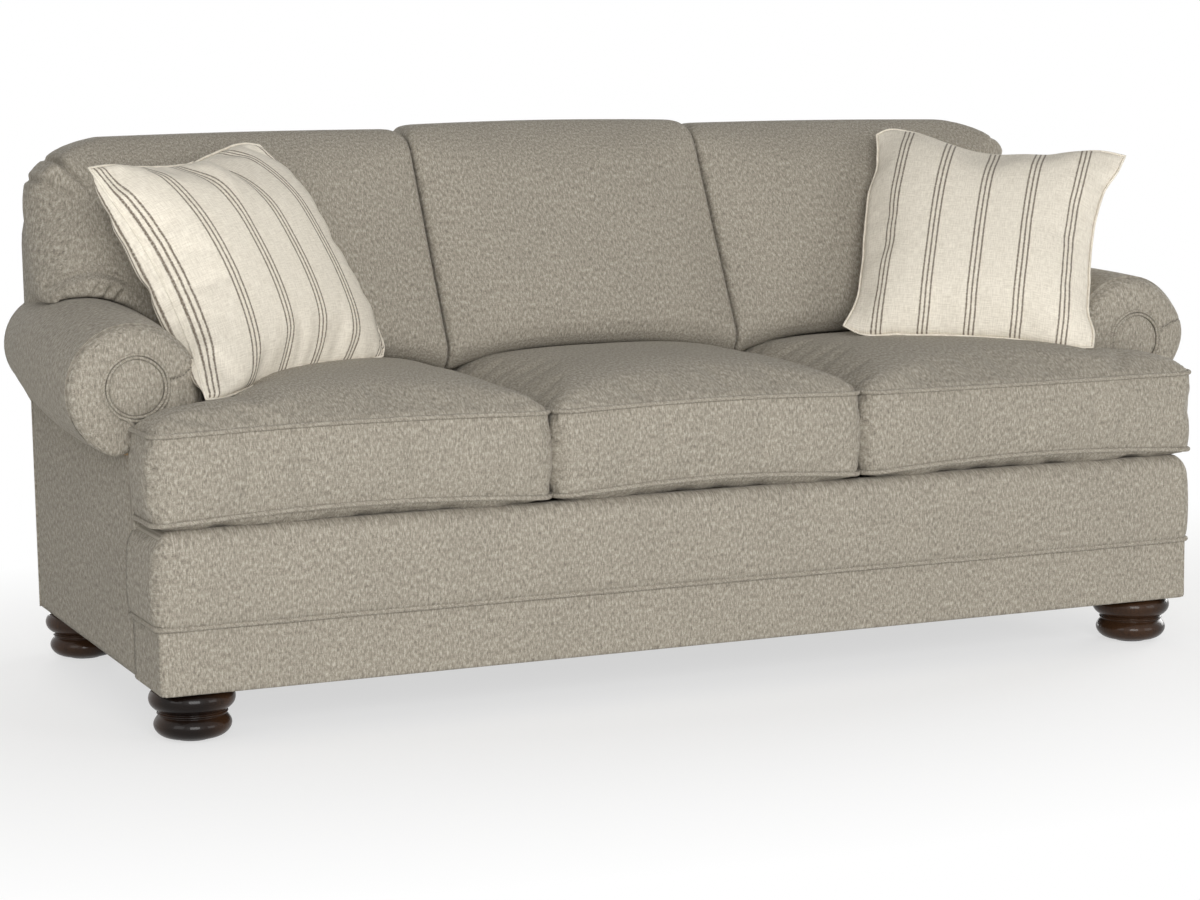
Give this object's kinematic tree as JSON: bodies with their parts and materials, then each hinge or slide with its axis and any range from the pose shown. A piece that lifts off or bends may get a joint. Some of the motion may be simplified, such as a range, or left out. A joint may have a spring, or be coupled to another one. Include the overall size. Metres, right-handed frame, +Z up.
{
  "type": "three-seat sofa",
  "caption": "Rolled-arm sofa with loose T-shaped seat cushions, a pillow back, a padded front rail over a welted border, turned bun feet and throw pillows.",
  "frame": {"origin": "centre of the footprint, on the floor under the foot glides", "axes": "+X towards the right arm as a viewer in front sees it, -Y out of the front, +Z up"},
  "size_m": [2.159, 0.94, 0.99],
  "materials": {
    "tweed": "heathered grey-taupe woven upholstery tweed, matte",
    "striped_linen": "natural linen with groups of three thin grey-brown stripes",
    "walnut": "dark walnut stain under satin lacquer",
    "frame_wood": "planed kiln-dried hardwood",
    "foam": "cut polyurethane foam",
    "fibre_fill": "polyester fibre in a non-woven case",
    "burlap": "open plain-woven burlap",
    "deck_cloth": "plain twill decking cloth",
    "dust_cloth": "thin non-woven black cambric",
    "spring_steel": "drawn spring wire, lightly oiled",
    "zinc_steel": "zinc-plated steel",
    "glide_plastic": "moulded nylon glide"
  },
  "bodies": {
    "frame": {"front_rail": "frame_wood", "back_rail": "frame_wood", "side_rails": "frame_wood", "seat_stretchers": "frame_wood", "corner_blocks": "frame_wood", "arm_boards": "frame_wood", "arm_rails": "frame_wood", "back_uprights": "frame_wood", "back_rails": "frame_wood", "frame_screws": "zinc_steel", "seat_springs": "spring_steel", "back_springs": "spring_steel", "spring_clips": "spring_steel", "spring_ties": "spring_steel", "spring_insulator": "burlap", "deck_pad": "foam", "deck_cloth": "deck_cloth", "inside_back": "tweed", "front_panel": "tweed", "border_band": "tweed", "band_welt": "tweed", "arm_pads": "foam", "arm_cover_left": "tweed", "arm_cover_right": "tweed", "arm_face_left": "tweed", "arm_face_right": "tweed", "arm_button_left": "tweed", "arm_button_right": "tweed", "arm_welts": "tweed", "outside_arm_left": "tweed", "outside_arm_right": "tweed", "outside_back": "tweed", "dust_cover": "dust_cloth", "back_cushion_left": "tweed", "back_cushion_centre": "tweed", "back_cushion_right": "tweed", "back_fill_left": "fibre_fill", "back_fill_centre": "fibre_fill", "back_fill_right": "fibre_fill", "foot_front_left": "walnut", "foot_front_right": "walnut", "foot_back_left": "walnut", "foot_back_right": "walnut", "hanger_bolts": "zinc_steel", "tee_nuts": "zinc_steel", "foot_glides": "glide_plastic"},
    "seat_left": {"seat_cushion_left": "tweed", "seat_core_left": "foam", "seat_welt_left": "tweed"},
    "seat_centre": {"seat_cushion_centre": "tweed", "seat_core_centre": "foam", "seat_welt_centre": "tweed"},
    "seat_right": {"seat_cushion_right": "tweed", "seat_core_right": "foam", "seat_welt_right": "tweed"},
    "throw_left": {"pillow_left": "striped_linen", "pillow_insert_left": "fibre_fill"},
    "throw_right": {"pillow_right": "striped_linen", "pillow_insert_right": "fibre_fill"}
  },
  "joints": [
    {"name": "seat_left_slide", "type": "slide", "parent": "frame", "child": "seat_left", "axis": [0, -1, 0], "range_m": [0, 0.3]},
    {"name": "seat_centre_slide", "type": "slide", "parent": "frame", "child": "seat_centre", "axis": [0, -1, 0], "range_m": [0, 0.3]},
    {"name": "seat_right_slide", "type": "slide", "parent": "frame", "child": "seat_right", "axis": [0, -1, 0], "range_m": [0, 0.3]},
    {"name": "throw_left_lift", "type": "slide", "parent": "seat_left", "child": "throw_left", "axis": [0, 0, 1], "range_m": [0, 0.35]},
    {"name": "throw_right_lift", "type": "slide", "parent": "seat_right", "child": "throw_right", "axis": [0, 0, 1], "range_m": [0, 0.35]}
  ]
}
